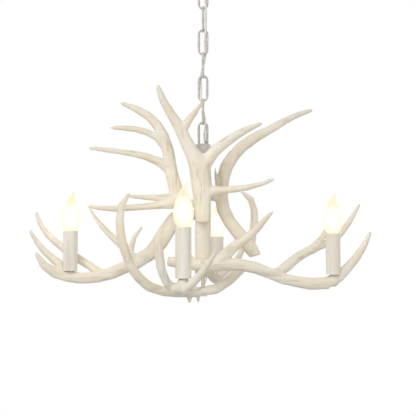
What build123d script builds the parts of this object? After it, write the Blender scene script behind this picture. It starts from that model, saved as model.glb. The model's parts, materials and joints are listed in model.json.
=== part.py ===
from build123d import *
import os
from math import atan2, ceil, cos, degrees, hypot, pi, radians, sin, tan

os.makedirs("parts", exist_ok=True)

# Antler chandelier on a chain. Millimetres, +Z up, X to the right, -Y to the front.
# The origin is in the ceiling plane, on the line that everything hangs from.

# Ceiling fitting
bar_length = 104.0
bar_width = 22.0
bar_thickness = 2.5
ceiling_screw_spacing = 70.0
ceiling_slot_length = 22.0
ceiling_slot_width = 5.0
canopy_radius = 60.0
canopy_depth = 39.0
canopy_wall = 1.5
canopy_shoulder = 0.62
canopy_shoulder_spread = 1.28
canopy_neck_spread = 0.72
canopy_slope_level = 0.72
canopy_rim_level = 0.2
nipple_diameter = 10.0
nipple_bore = 6.6
stem_bore = 8.6
nipple_grip = 10.0
bar_nut_height = 5.0
bar_nut_across_flats = 17.0
stem_diameter = 26.0
stem_cover = 1.0
stem_rise = 21.0
ring_diameter = 37.0
ring_thickness = 6.0
canopy_hole_clearance = 0.7
loop_wire = 5.0
loop_inside_height = 22.0
loop_outside_width = 24.0

# Chain
link_wire = 4.0
link_inside_length = 45.2
link_inside_width = 12.5
link_gap = 0.3
link_count = 7
link_bend_steps = 5
link_wire_sides = 6

# Lead woven through the chain
cord_diameter = 4.0
cord_sides = 5
cord_arc_parts = 2
cord_rounding = 0.38
cord_straight_below_stem = 4.0
cord_aside = 5.4
cord_ahead = 5.5
# The corner of each joint of the chain that the lead passes, from the ceiling down: right 1, back 1.
cord_corners = [(1, 1), (1, -1), (1, -1), (1, 1), (-1, 1), (-1, -1), (1, -1), (1, 1)]
# How far right and back of the centre the lead passes the middle of each link.
cord_middles = [(2.8, 0.4), (6.0, -5.0), (2.8, -0.3), (0.3, 2.8), (-2.8, 0.2), (0.4, -2.8), (1.6, 0.3)]
# Where the lead goes down through the cap: its distance from the axis and its turn in degrees.
cord_hole_radius = 9.18
cord_hole_turn = 43.8
cord_above_cap_floor = 1.0
hole_clearance = 0.6

# Hub: eye, bell-shaped cap, column and tie rod
eye_inside = 9.0
eye_base_drop = 8.0
eye_base_diameter = 12.6
cap_rim_above_eye = 2.0
cap_rim_diameter = 27.4
cap_waist_diameter = 35.0
cap_waist_drop = 8.0
cap_diameter = 39.0
cap_diameter_drop = 18.0
cap_wall = 1.5
cap_floor = 3.0
cap_skirt = 6.0
column_diameter = 30.0
column_wall = 3.0
column_length = 214.0
rod_diameter = 8.0
rod_thread_in_eye = 7.0
rod_nut_height = 6.5
rod_nut_across_flats = 13.0
bottom_cap_flange = 3.0
bottom_cap_plug = 6.0
rod_end_inset = 1.5
rod_bore_below_end = 20.0
rod_bore_above_end = 35.0
rod_nut_recess_clearance = 0.5
fit_clearance = 0.1
cut_extra = 1.0

# Lamps
sleeve_diameter = 27.0
sleeve_wall = 1.2
sleeve_lengths = {"left": 75.0, "right": 76.0, "front": 86.0, "back": 76.0}
holder_cup_depth = 27.5
holder_cup_floor = 5.0
holder_cup_below_rim = 1.5
holder_foot_height = 10.0
holder_foot_diameter = 15.0
holder_stem_diameter = 11.0
holder_stem_bore = 6.0
shell_diameter = 15.8
shell_wall = 0.7
shell_length = 20.0
contact_size = (3.0, 9.0, 0.6)
bulb_cap_diameter = 13.8
bulb_cap_length = 22.0
bulb_tip_height = 2.0
bulb_travel_clearance = 0.3
bulb_diameter = 37.0
bulb_height = 77.0
bulb_wall = 0.9
bulb_bend = 7.0
# Height, radius and bend of the flame shape, each as a share of its largest value.
bulb_form = [
    (0.0, 0.5, 0.0),
    (0.14, 0.84, 0.0),
    (0.28, 1.0, 0.0),
    (0.44, 0.9, -0.05),
    (0.6, 0.6, -0.1),
    (0.76, 0.33, 0.1),
    (0.9, 0.18, 0.6),
    (1.0, 0.08, 1.0),
]
bulb_hollow_height = 0.7
lamp_nipple_diameter = 8.0
lamp_nipple_bore = 4.8
lamp_nut_height = 5.0
lamp_nut_across_flats = 11.0
lamp_nut_recess_clearance = 0.6
lamp_clamped_thickness = 8.0
lamp_cutter_reach = 60.0
sleeve_seat_clearance = 1.0

# Fixing screws of the antlers
screw_diameter = 5.0
screw_clearance = 0.3
screw_head_diameter = 8.5
screw_head_height = 4.5
screw_head_clearance = 0.4
screw_bore_reach = 40.0
pad_half_width = 9.0

# Wires inside
junction_height = 14.0
junction_clearance = 0.4
junction_below_column_top = 40.0
wire_diameter = 2.4
wire_channel_diameter = 4.4
wire_ring_radius = 8.3
wire_sides = 6
wire_bend_rise = 6.0
wire_bend_reach = 3.0
wire_bend_lift = 0.5
wire_under_nut = 3.0
wire_nut_share = 0.8
wire_end_inset = 1.0

# Facets
beam_sides = 8
tine_sides = 6
beam_step = 29.0
tine_step = 27.0
stump_step = 9.0
ridge_height = 0.035
antler_depth = 0.86
slim_depth = 0.76
full_depth = 1.0
small_sides = 8
screw_sides = 6
round_sides = 16
canopy_sides = 24
bulb_sides = 10
shell_sides = 12

nodes = {}

# Levels that follow from the sizes above
stem_bottom_z = -(canopy_depth + ring_thickness + stem_cover)
loop_wire_z = stem_bottom_z - loop_inside_height - loop_wire / 2
link_pitch = link_inside_length - link_gap
first_link_z = loop_wire_z + loop_wire / 2 + link_gap + link_wire / 2
link_height = link_inside_length + link_wire
last_link_bottom_z = first_link_z - (link_count - 1) * link_pitch - link_height
eye_wire_z = last_link_bottom_z + link_gap + link_wire
eye_bottom_z = eye_wire_z - eye_inside - link_wire
column_top_z = eye_bottom_z - link_wire / 2 - eye_base_drop - cap_floor
column_bottom_z = column_top_z - column_length
# The upper antlers are given from this level, just above the top of the column.
hub_z = column_top_z + 6.0
# The lower antlers and the lamps are given from this level, which keeps to the bottom of the column.
arm_z = column_bottom_z + 220.0


def prism(radius, bottom, top, sides=small_sides):
    """Upright prism on the axis, its corners at the radius."""
    outline = Plane.XY.offset(bottom) * RegularPolygon(radius, sides)
    return extrude(outline, top - bottom)


def hexagon(across_flats, bottom, top):
    return prism(across_flats / 2 / cos(pi / 6), bottom, top, 6)


def turned(sides, *profile):
    """Turned piece about Z, in flat facets, from its half profile as (radius, z) points."""
    rings = []
    for number in range(sides + 1):
        turn = 2 * pi * (number % sides) / sides
        rings.append([Vector(radius * cos(turn), radius * sin(turn), z) for radius, z in profile])
    return closed_skin(rings)


def skin(rings):
    """Closed solid with flat facets between neighbouring rings of points."""
    sides = len(rings[0])
    faces = [Face(Wire.make_polygon(rings[0])), Face(Wire.make_polygon(rings[-1]))]
    for ring, following in zip(rings, rings[1:]):
        for near in range(sides):
            far = (near + 1) % sides
            faces.append(Face(Wire.make_polygon([ring[near], ring[far], following[far]])))
            faces.append(Face(Wire.make_polygon([ring[near], following[far], following[near]])))
    return Solid(Shell(faces))


def ring_points(centre, along, side_hint, wide, deep, sides, ridges=0.0):
    """Corners of an oval section: deep along the hint, wide across it, with raised ridges."""
    deep_way = (side_hint - along * along.dot(side_hint)).normalized()
    wide_way = along.cross(deep_way)
    points = []
    for corner in range(sides):
        turn = 2 * pi * corner / sides
        swell = 1 + (ridges if corner % 2 else -ridges)
        points.append(centre + deep_way * (deep * swell * cos(turn)) + wide_way * (wide * swell * sin(turn)))
    return points


def branch(
    stations, level, sides=tine_sides, step=tine_step, depth=antler_depth, hint=(0, 1, 0), ridges=0.0
):
    """One beam or tine from (x, y, z, radius) stations, with a rounded tip at the last of them."""
    centres = [Vector(x, y, z + level) for x, y, z, _ in stations]
    path = Spline(centres)
    lengths = [0.0]
    for near, far in zip(centres, centres[1:]):
        lengths.append(lengths[-1] + (far - near).length)
    total = lengths[-1]

    def radius_at(share):
        place = share * total
        for number in range(len(stations) - 1):
            if place <= lengths[number + 1] or number == len(stations) - 2:
                part = (place - lengths[number]) / (lengths[number + 1] - lengths[number])
                return stations[number][3] * (1 - part) + stations[number + 1][3] * part

    count = max(2, ceil(total / step))
    tip_radius = stations[-1][3]
    shares = [number / count for number in range(count)] + [1 - tip_radius / total]
    rings = []
    for share in shares:
        radius = radius_at(share)
        rings.append(
            ring_points(path @ share, path % share, Vector(*hint), radius, radius * depth, sides, ridges)
        )
    end = tip_radius / 2
    rings.append(ring_points(path @ 1, path % 1, Vector(*hint), end, end * depth, sides, ridges))
    return skin(rings)


def tube_through(points, radius, sides=wire_sides):
    """Thin tube whose corners are mitred at the points."""
    vectors = [Vector(*point) for point in points]
    rings = []
    for number, centre in enumerate(vectors):
        before = vectors[max(number - 1, 0)]
        after = vectors[min(number + 1, len(vectors) - 1)]
        back = (centre - before).normalized() if number else (after - centre).normalized()
        ahead = (after - centre).normalized() if number < len(vectors) - 1 else back
        along = (back + ahead).normalized()
        rings.append(ring_points(centre, along, Vector(0.31, 0.87, 0.38), radius, radius, sides))
    return skin(rings)


def one(shape):
    """The single solid that a cut or a union must leave."""
    return max(shape.solids(), key=lambda solid: solid.volume)


# Ceiling fitting

def make_crossbar():
    bar = Pos(0, 0, -bar_thickness / 2) * Box(bar_length, bar_width, bar_thickness)
    bar = bar - prism(nipple_diameter / 2, -bar_thickness, 0, round_sides)
    for side in (-1, 1):
        slot = Pos(side * ceiling_screw_spacing / 2, 0, -bar_thickness) * SlotOverall(
            ceiling_slot_length, ceiling_slot_width
        )
        bar = bar - extrude(slot, bar_thickness)
    return bar


def make_crossbar_nipple():
    bottom = stem_bottom_z + stem_rise - nipple_grip
    tube = prism(nipple_diameter / 2, bottom, 0, round_sides)
    return tube - prism(nipple_bore / 2, bottom, 0)


def make_bar_nut():
    top = -bar_thickness
    nut = hexagon(bar_nut_across_flats, top - bar_nut_height, top)
    return nut - prism(nipple_diameter / 2, top - bar_nut_height, top, round_sides)


def make_screw_loop():
    stem_top = stem_bottom_z + stem_rise
    stem = prism(stem_diameter / 2, stem_bottom_z, stem_top, round_sides)
    stem = stem - prism(nipple_diameter / 2, stem_top - nipple_grip, stem_top, round_sides)
    stem = stem - prism(stem_bore / 2, stem_bottom_z, stem_top)
    bend = (loop_outside_width - loop_wire) / 2
    centres = [Vector(0, bend, stem_bottom_z + loop_wire / 2)]
    ways = [Vector(0, 0, -1)]
    for number in range(link_bend_steps + 1):
        turn = pi * number / link_bend_steps
        centres.append(Vector(0, bend * cos(turn), loop_wire_z + bend - bend * sin(turn)))
        ways.append(Vector(0, -sin(turn), -cos(turn)))
    centres.append(Vector(0, -bend, stem_bottom_z + loop_wire / 2))
    ways.append(Vector(0, 0, 1))
    rings = []
    for centre, way in zip(centres, ways):
        rings.append(ring_points(centre, way, Vector(1, 0, 0), loop_wire / 2, loop_wire / 2, link_wire_sides))
    return one(stem + skin(rings))


def make_canopy():
    hole = stem_diameter / 2 + canopy_hole_clearance
    shoulder = canopy_radius * canopy_shoulder
    neck_z = -canopy_depth + canopy_wall
    slope_z = -canopy_depth * canopy_slope_level
    rim_z = -canopy_depth * canopy_rim_level
    return turned(
        canopy_sides,
        (canopy_radius, 0),
        (canopy_radius, rim_z),
        (shoulder * canopy_shoulder_spread, slope_z),
        (shoulder * canopy_neck_spread, -canopy_depth),
        (hole, -canopy_depth),
        (hole, neck_z),
        (shoulder * canopy_neck_spread - canopy_wall / 2, neck_z),
        (shoulder * canopy_shoulder_spread - canopy_wall, slope_z + canopy_wall / 2),
        (canopy_radius - canopy_wall, rim_z),
        (canopy_radius - canopy_wall, 0),
    )


def make_canopy_ring():
    top = -canopy_depth
    ring = prism(ring_diameter / 2, top - ring_thickness, top, round_sides)
    return ring - prism(stem_diameter / 2 + fit_clearance, top - ring_thickness, top, round_sides)


# Chain

def make_link(number):
    """Welded wire link. Odd links lie across the view and even links lie along it."""
    top = first_link_z - number * link_pitch
    bend = (link_inside_width + link_wire) / 2
    upper = top - bend
    lower = top - link_height + bend
    face_on = number % 2 == 0
    across = Vector(1, 0, 0) if face_on else Vector(0, 1, 0)
    through = Vector(0, 1, 0) if face_on else Vector(1, 0, 0)
    up = Vector(0, 0, 1)
    rings = []
    for centre_z, start in ((upper, 0.0), (lower, pi)):
        for place in range(link_bend_steps + 1):
            turn = start + pi * place / link_bend_steps
            outward = across * cos(turn) + up * sin(turn)
            along = up * cos(turn) - across * sin(turn)
            centre = up * centre_z + outward * bend
            rings.append(
                ring_points(centre, along, through, link_wire / 2, link_wire / 2, link_wire_sides)
            )
    rings.append(rings[0])
    return closed_skin(rings)


def closed_skin(rings):
    """Ring-shaped solid whose last ring of points is also its first."""
    sides = len(rings[0])
    faces = []
    for ring, following in zip(rings, rings[1:]):
        for near in range(sides):
            far = (near + 1) % sides
            faces.append(Face(Wire.make_polygon([ring[near], ring[far], following[far], following[near]])))
    return Solid(Shell(faces))


# Lead

def cord_hole_place(z):
    """Point on the line where the lead goes down through the cap."""
    turn = radians(cord_hole_turn)
    return (cord_hole_radius * cos(turn), cord_hole_radius * sin(turn), z)


def cord_route():
    """Hand-laid points: down the nipple, through the links from side to side, into the column."""
    points = [(0, 0, -bar_thickness), (0, 0, stem_bottom_z - cord_straight_below_stem)]
    for number, (right, back) in enumerate(cord_corners):
        joint_z = first_link_z - number * link_pitch - link_wire / 2
        points.append((right * cord_aside, back * cord_ahead, joint_z))
        if number < link_count:
            right, back = cord_middles[number]
            points.append((right, back, first_link_z - number * link_pitch - link_height / 2))
    floor_z = column_top_z + cap_floor
    points.append(cord_hole_place(floor_z + cord_above_cap_floor))
    points.append(cord_hole_place(column_top_z - junction_below_column_top))
    return points


def make_cord():
    points = [Vector(*point) for point in cord_route()]
    radii = []
    for before, corner, after in zip(points, points[1:], points[2:]):
        turn = radians((corner - before).get_angle(after - corner))
        run = min((corner - before).length, (after - corner).length)
        radii.append(cord_rounding * run / max(0.01, tan(turn / 2)))
    path = FilletPolyline(*points, radius=radii)
    rings = []
    for edge in path.edges():
        parts = 1 if edge.geom_type == GeomType.LINE else cord_arc_parts
        for part in range(parts):
            share = part / parts
            rings.append(cord_ring(edge @ share, edge % share))
    last = path.edges()[-1]
    rings.append(cord_ring(last @ 1, Vector(0, 0, -1)))
    return skin(rings)


def cord_ring(centre, along):
    return ring_points(centre, along, Vector(0, 1, 0), cord_diameter / 2, cord_diameter / 2, cord_sides)


# Hub

def make_eye():
    bend = (eye_inside + link_wire) / 2
    centre_z = eye_wire_z - bend
    steps = 2 * link_bend_steps
    rings = []
    for place in range(steps + 1):
        turn = 2 * pi * place / steps
        centre = Vector(0, bend * cos(turn), centre_z + bend * sin(turn))
        along = Vector(0, -sin(turn), cos(turn))
        rings.append(
            ring_points(centre, along, Vector(1, 0, 0), link_wire / 2, link_wire / 2, link_wire_sides)
        )
    floor_z = column_top_z + cap_floor
    base = prism(eye_base_diameter / 2, floor_z, eye_bottom_z)
    base = one(base + closed_skin(rings))
    return base - prism(rod_diameter / 2, floor_z, floor_z + rod_thread_in_eye)


def cap_profile(shrink):
    rim_z = eye_wire_z + cap_rim_above_eye
    return [
        (cap_rim_diameter / 2 - shrink, rim_z),
        (cap_waist_diameter / 2 - shrink, rim_z - cap_waist_drop),
        (cap_diameter / 2 - shrink, rim_z - cap_diameter_drop),
    ]


def make_top_cap():
    outer = cap_profile(0)
    inner = cap_profile(cap_wall)
    floor_z = column_top_z + cap_floor
    cap = turned(
        round_sides,
        *outer,
        (cap_diameter / 2, column_top_z - cap_skirt),
        (column_diameter / 2 + fit_clearance, column_top_z - cap_skirt),
        (column_diameter / 2 + fit_clearance, column_top_z),
        (rod_diameter / 2 + fit_clearance, column_top_z),
        (rod_diameter / 2 + fit_clearance, floor_z),
        (cap_diameter / 2 - cap_wall, floor_z),
        *reversed(inner),
    )
    hole = prism(cord_diameter / 2 + hole_clearance, column_top_z - cut_extra, floor_z + cut_extra)
    return one(cap - Pos(*cord_hole_place(0)) * hole)


def make_column():
    outer = column_diameter / 2
    tube = prism(outer, column_bottom_z, column_top_z, round_sides)
    return tube - prism(outer - column_wall, column_bottom_z, column_top_z, round_sides)


def make_bottom_cap():
    bottom = column_bottom_z - bottom_cap_flange
    top = column_bottom_z + bottom_cap_plug
    flange = prism(column_diameter / 2, bottom, column_bottom_z, round_sides)
    plug_radius = column_diameter / 2 - column_wall - fit_clearance
    plug = prism(plug_radius, column_bottom_z, top, round_sides)
    cap = flange + plug - prism(rod_diameter / 2 + fit_clearance, bottom, top)
    hole = Pos(*ring_place(wire_exits["front"]["turn"], 0)) * prism(
        wire_channel_diameter / 2, bottom, top, screw_sides
    )
    return one(cap - hole)


def make_tie_rod():
    top = column_top_z + cap_floor + rod_thread_in_eye
    return prism(rod_diameter / 2, rod_end_z, top)


def make_rod_nut(top):
    nut = hexagon(rod_nut_across_flats, top - rod_nut_height, top)
    return nut - prism(rod_diameter / 2, top - rod_nut_height, top)


# Antlers. Each station is (x, y, z, radius), its z from hub_z for the upper ones and from arm_z for the rest.

upper_left_beam = [
    (-27, -8, -122, 10),
    (-33, -9, -108, 13),
    (-44, -8, -86, 14),
    (-52, -5, -64, 14),
    (-57, 0, -42, 13.5),
    (-62, 5, -19, 13),
    (-67, 12, 11, 12.5),
    (-76, 18, 40, 11.5),
    (-91, 24, 67, 10),
    (-114, 29, 88, 8),
    (-145, 33, 103, 5.5),
    (-162, 35, 110, 3),
]
upper_left_tines = [
    [(-73, 14, 22, 10), (-102, 14, 46, 7.5), (-141, 14, 56, 5.5), (-180, 15, 57, 2.5)],
    [(-63, 4, -24, 12), (-97, 0, -5, 8), (-138, -4, 5, 6.5), (-180, -7, 10, 4.5), (-215, -10, 14, 2.5)],
    [(-55, -7, -78, 9), (-90, -16, -80, 6), (-117, -24, -80, 4.5), (-137, -30, -79, 2.5)],
    [
        (-44, -8, -92, 11),
        (-81, -12, -95, 7.5),
        (-127, -14, -99, 6.5),
        (-174, -13, -101, 5.5),
        (-217, -10, -96, 2.5),
    ],
]

upper_front_beam = [
    (0, -28, -129, 14),
    (-1, -28, -101, 15),
    (-2, -29, -71, 18),
    (-4, -32, -40, 21),
    (-8, -36, -20, 19),
    (-15, -40, -6, 14.5),
    (-25, -43, 8, 12.5),
    (-36, -47, 33, 12),
    (-49, -51, 56, 9.5),
    (-64, -55, 79, 8),
    (-76, -59, 101, 6),
    (-82, -62, 121, 3),
]
upper_front_tines = [
    [(-39, -48, 38, 10), (-23, -55, 62, 7), (-11, -61, 76, 5), (-2, -66, 89, 2.5)],
    [
        (-3, -34, -40, 16),
        (3, -37, -20, 15),
        (14, -40, -4, 12.5),
        (40, -45, 18, 9.5),
        (73, -53, 38, 7.5),
        (108, -60, 52, 2.5),
    ],
    [
        (4, -31, -69, 11),
        (37, -38, -68, 7.5),
        (73, -48, -66, 6.5),
        (103, -58, -60, 4.5),
        (128, -66, -51, 2.5),
    ],
]

upper_right_beam = [
    (99, 11, -190, 12),
    (95, 11, -180, 14),
    (76, 12, -156, 13),
    (59, 14, -136, 12.5),
    (44, 17, -113, 12.5),
    (36, 18, -92, 12.5),
    (36, 19, -63, 13),
    (38, 20, -40, 13),
    (46, 23, -16, 13),
    (63, 28, 10, 12),
    (86, 35, 31, 11),
    (130, 45, 58, 8.5),
    (176, 55, 85, 6),
    (218, 62, 101, 3),
]
upper_right_tines = [
    [(36, 18, -73, 7), (25, 12, -48, 4), (22.5, 9, -22, 1.6)],
    [
        (88, 11, -172, 10),
        (96, 9, -144, 8.5),
        (98, 6, -112, 8),
        (95, 4, -89, 7),
        (86, 2, -75, 5),
        (72, 0, -69, 2.5),
    ],
]

left_beam = [
    (-36, 24, -101, 11),
    (-46, 23, -111, 15),
    (-62, 20, -130, 16.5),
    (-83, 14, -165, 15.5),
    (-106, 9, -190, 14),
    (-123, 6, -200, 13.5),
    (-154, 2, -214, 12.5),
    (-184, 0, -226, 12),
    (-217, -1, -231, 11.5),
    (-250, -2, -229, 11.5),
    (-279, -4, -221, 10.5),
    (-299, -8, -206, 8),
    (-311, -14, -183, 2.5),
]
left_tines = [
    [
        (-243, -1, -228, 10),
        (-266, 5, -208, 9),
        (-288, 6, -192, 8),
        (-310, 2, -169, 6),
        (-325, -5, -142, 2.5),
    ],
    [
        (-190, 2, -224, 9),
        (-226, 20, -203, 8.5),
        (-268, 30, -176, 8),
        (-286, 33, -163, 7),
        (-310, 36, -139, 5.5),
        (-325, 38, -105, 2.5),
    ],
    [(-133, 4, -202, 9), (-137, 0, -178, 7), (-131, -4, -156, 5), (-113, -8, -134, 2.5)],
    [(-128, 5, -199, 9), (-163, 7, -162, 6.5), (-192, 9, -134, 5), (-219, 10, -96, 2.2)],
]

right_beam = [
    (-66, -21, -199, 9),
    (-55, -22, -200, 11),
    (-33, -25, -203, 11.5),
    (0, -27, -206, 12),
    (39, -28, -206, 12),
    (75, -28, -206, 11.5),
    (102, -26, -213, 11),
    (135, -24, -226, 10.5),
    (161, -22, -235, 10.5),
    (187, -20, -239, 10.5),
    (217, -18, -242, 11),
    (242, -17, -235, 11),
    (263, -12, -219, 9.5),
    (283, -6, -199, 8),
    (303, 2, -173, 6),
    (318, 8, -144, 2.5),
]
right_tines = [
    [
        (25, -28, -203, 12),
        (42, -31, -187, 12),
        (64, -36, -167, 9.5),
        (90, -44, -149, 7.5),
        (112, -52, -124, 5.5),
        (128, -58, -108, 2.5),
    ],
    [
        (130, -24, -224, 10),
        (158, 10, -210, 11),
        (183, 42, -193, 10.5),
        (212, 73, -179, 10.5),
        (236, 92, -170, 9),
        (258, 105, -163, 8),
        (289, 115, -136, 7),
        (324, 122, -83, 2.5),
    ],
    [(220, 80, -176, 9), (242, 92, -150, 6.5), (257, 97, -128, 4.5), (267, 101, -101, 2.5)],
]

front_beam = [
    (84, 37, -206, 7),
    (71, 27, -217, 9),
    (57, 18, -230, 9),
    (38, 9, -245, 9.5),
    (17, 4, -254, 10),
    (0, 0, -256, 10.5),
    (-28, -13, -256, 10.5),
    (-53, -29, -256, 10),
    (-78, -46, -252, 9.5),
    (-100, -58, -242, 9),
    (-117, -67, -225, 8.6),
    (-131, -75, -201, 8.4),
    (-140, -81, -171, 8),
    (-146, -85, -145, 7.7),
    (-147, -87, -120, 7.3),
    (-143, -86, -97, 6),
    (-129, -84, -78, 2.8),
]
front_arm = [
    (-20, -8, -256, 9),
    (-38, -45, -254, 10),
    (-46, -90, -250, 10),
    (-47, -128, -247, 10),
    (-45, -146, -244, 9),
]
front_stump = [(-45, -124, -248, 10), (-35, -138, -236, 10.5), (-32, -140, -222, 11.5)]
front_brow = [
    (-44, -128, -249, 9),
    (-34, -142, -249, 9),
    (-20, -152, -238, 8),
    (-4, -159, -220, 7),
    (12, -165, -199, 5.2),
    (22, -169, -181, 2.4),
]
front_tines = [
    [
        (-48, -128, -247, 9),
        (-61, -146, -231, 8),
        (-68, -155, -206, 7),
        (-69, -160, -180, 5.5),
        (-70, -163, -159, 2.2),
    ],
    [(-47, -98, -249, 8), (-71, -110, -221, 5), (-79, -112, -192, 3.5), (-84, -112, -154, 1.8)],
]
front_nubs = [
    [(-25, -10, -256, 8.5), (-25, -10, -277, 2.2)],
    [(-8, -4, -257, 8), (-8, -4, -277, 2.2)],
]

back_beam = [
    (0, 29, -156, 10),
    (0, 29, -168, 13),
    (3, 32, -188, 13.5),
    (10, 46, -210, 13),
    (17, 73, -226, 12.5),
    (22, 101, -234, 12),
    (26, 136, -238, 11.5),
    (29, 175, -237, 11),
    (31, 202, -225, 9.5),
    (29, 224, -202, 7.5),
    (24, 239, -166, 2.5),
]
back_tines = [
    [(26, 136, -237, 9.5), (51, 155, -220, 8), (76, 177, -192, 6.5), (95, 194, -151, 2.5)],
    [
        (19, 93, -231, 9.5),
        (-8, 116, -215, 8),
        (-31, 140, -190, 6.5),
        (-43, 163, -151, 5),
        (-44, 175, -131, 2.5),
    ],
    [(28, 185, -234, 8), (10, 208, -218, 6.5), (-7, 225, -190, 2.5)],
]

# Where each lamp stands: x, y, and the level of its seat from arm_z.
lamp_places = {
    "left": (-250, -1, -217.5),
    "right": (242, -18, -224),
    "front": (-32, -140, -226),
    "back": (29, 175, -226),
}
# Where each antler meets the column: the point of its beam that the pad reaches, and the pad's half height.
pads = {
    "upper_left": [(-42, -8, -91, 9)],
    "upper_front": [(-1, -29, -58, 9), (0, -28, -110, 9)],
    "upper_right": [(36, 18, -76, 9.5)],
    "left": [(-46, 23, -112, 11)],
    "right": [(0, -27, -204, 10.5)],
    "back": [(1, 29, -178, 14)],
}
# The bends of the front lamp's wire between the column and the front antler, their z from arm_z.
front_wire_bends = [(5, -6, -240), (-4, -10, -252)]
# Levels of the screws and of the wire exits, from the middle of the pad.
screw_offsets = {"left": 5.0, "right": 4.0, "back": 7.0}
wire_offsets = {"left": -5.5, "right": -5.5, "back": -6.0}


def level_of(name):
    """The level that an antler's stations are given from."""
    return hub_z if name.startswith("upper") else arm_z


def ring_place(turn, z):
    """Point on the ring where the wires run down inside the column."""
    return (wire_ring_radius * cos(radians(turn)), wire_ring_radius * sin(radians(turn)), z)


def pad_turn(name):
    x, y, _, _ = pads[name][0]
    return degrees(atan2(y, x))


wire_exits = {"front": {"turn": -25.0, "z": column_bottom_z}}
for name, offset in wire_offsets.items():
    wire_exits[name] = {"turn": pad_turn(name), "z": arm_z + pads[name][0][2] + offset}
front_beam_middle = front_beam[5]
rod_end_z = arm_z + front_beam_middle[2] - front_beam_middle[3] + rod_end_inset


def make_pad(level, x, y, z, half_height):
    """Boss from the column's axis to the beam. The column is cut out of it afterwards."""
    reach = hypot(x, y)
    out = Vector(x, y, 0) / reach
    rings = []
    for place in (column_diameter / 4, reach):
        centre = out * place + Vector(0, 0, z + level)
        rings.append(ring_points(centre, out, Vector(0, 0, 1), pad_half_width, half_height, beam_sides))
    return skin(rings)


def screw_frame(name, number):
    x, y, z, _ = pads[name][number]
    out = Vector(x, y, 0)
    level = z + level_of(name) + screw_offsets.get(name, 0.0)
    return Plane(origin=(0, 0, level), z_dir=out, x_dir=(0, 0, 1)), out.length


def round_along(plane, radius, start, end):
    return extrude(plane.offset(start) * RegularPolygon(radius, screw_sides), end - start)


def make_screw(name, number):
    plane, reach = screw_frame(name, number)
    shank = round_along(plane, screw_diameter / 2, column_diameter / 2 - column_wall, reach)
    head = round_along(plane, screw_head_diameter / 2, reach, reach + screw_head_height)
    return one(shank + head)


def lamp_nut_top(name):
    return arm_z + lamp_places[name][2] - lamp_clamped_thickness


def wire_route(name):
    """From the junction down the column, out into the antler, along its beam and up into the lamp."""
    x, y, z = lamp_places[name]
    turn = wire_exits[name]["turn"]
    level = wire_exits[name]["z"]
    points = [ring_place(turn, column_top_z - junction_below_column_top - junction_height)]
    if name == "front":
        points.append(ring_place(turn, level - bottom_cap_flange - wire_bend_rise))
        for bend_x, bend_y, bend_z in front_wire_bends:
            points.append((bend_x, bend_y, bend_z + arm_z))
        beam = front_arm[1:3]
    else:
        points.append(ring_place(turn, level + wire_bend_rise))
        reach = wire_ring_radius + wire_bend_reach
        points.append((reach * cos(radians(turn)), reach * sin(radians(turn)), level + wire_bend_lift))
        beam = {"left": left_beam[2:9], "right": right_beam[4:11], "back": back_beam[2:7]}[name]
        points.append((pads[name][0][0], pads[name][0][1], level))
    for beam_x, beam_y, beam_z, _ in beam:
        points.append((beam_x, beam_y, beam_z + arm_z))
    under_nut_z = lamp_nut_top(name) - lamp_nut_height - wire_under_nut
    back = (Vector(beam[-1][0], beam[-1][1]) - Vector(x, y)).normalized()
    back = back * lamp_nut_across_flats * wire_nut_share
    points.append((x + back.X, y + back.Y, under_nut_z))
    points.append((x, y, under_nut_z))
    points.append((x, y, arm_z + z + holder_foot_height - wire_end_inset))
    return points


def make_antler(name, parts, tines, lamp=None):
    """The antler with its screw holes, its seat for a lamp and its channel for the wire, and its plugs."""
    level = level_of(name)
    solids = list(parts)
    for stations in tines:
        solids.append(branch(stations, level))
    for pad in pads.get(name, []):
        solids.append(make_pad(level, *pad))
    antler = solids[0]
    for solid in solids[1:]:
        antler = one(antler.fuse(solid))
    cutters = [prism(column_diameter / 2, column_bottom_z - cut_extra, column_top_z, round_sides)]
    skirt_z = column_top_z - cap_skirt - 2 * fit_clearance
    cutters.append(prism(cap_diameter / 2 + fit_clearance, skirt_z, eye_wire_z, round_sides))
    plugs = []
    head_radius = (screw_head_diameter + screw_head_clearance) / 2
    for number in range(len(pads.get(name, []))):
        plane, reach = screw_frame(name, number)
        shank_radius = screw_diameter / 2 + screw_clearance
        cutters.append(round_along(plane, shank_radius, column_diameter / 2 - cut_extra, reach))
        bore = round_along(plane, head_radius, reach, reach + screw_bore_reach)
        filler = round_along(plane, head_radius, reach + screw_head_height, reach + screw_bore_reach)
        plugs.append(near_solid(antler & filler, plane.offset(reach + screw_head_height).origin))
        cutters.append(near_solid(antler & bore, plane.offset(reach).origin))
    if lamp:
        x, y, z = lamp_places[lamp]
        place = Pos(x, y, 0)
        seat_z = arm_z + z
        sleeve_room = sleeve_diameter / 2 + sleeve_seat_clearance
        nut_room = lamp_nut_across_flats / 2 / cos(pi / 6) + lamp_nut_recess_clearance
        cutters.append(place * prism(sleeve_room, seat_z, seat_z + lamp_cutter_reach, round_sides))
        low_z = seat_z - lamp_cutter_reach
        cutters.append(place * prism(lamp_nipple_diameter / 2, low_z, seat_z + cut_extra))
        cutters.append(place * prism(nut_room, low_z, lamp_nut_top(lamp)))
        cutters.append(tube_through(wire_route(lamp)[2:-1], wire_channel_diameter / 2))
    return one(antler.cut(*cutters)), plugs


def near_solid(shape, place):
    """The piece of a cut shape that lies nearest to a place."""
    return min(shape.solids(), key=lambda solid: solid.distance_to(place))


# Lamps

def make_sleeve(name):
    x, y, z = lamp_places[name]
    bottom = arm_z + z
    top = bottom + sleeve_lengths[name]
    tube = prism(sleeve_diameter / 2, bottom, top, round_sides)
    return Pos(x, y, 0) * (tube - prism(sleeve_diameter / 2 - sleeve_wall, bottom, top, round_sides))


def lamp_levels(name):
    bottom = arm_z + lamp_places[name][2]
    rim = bottom + sleeve_lengths[name] - holder_cup_below_rim
    return bottom, rim


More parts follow.
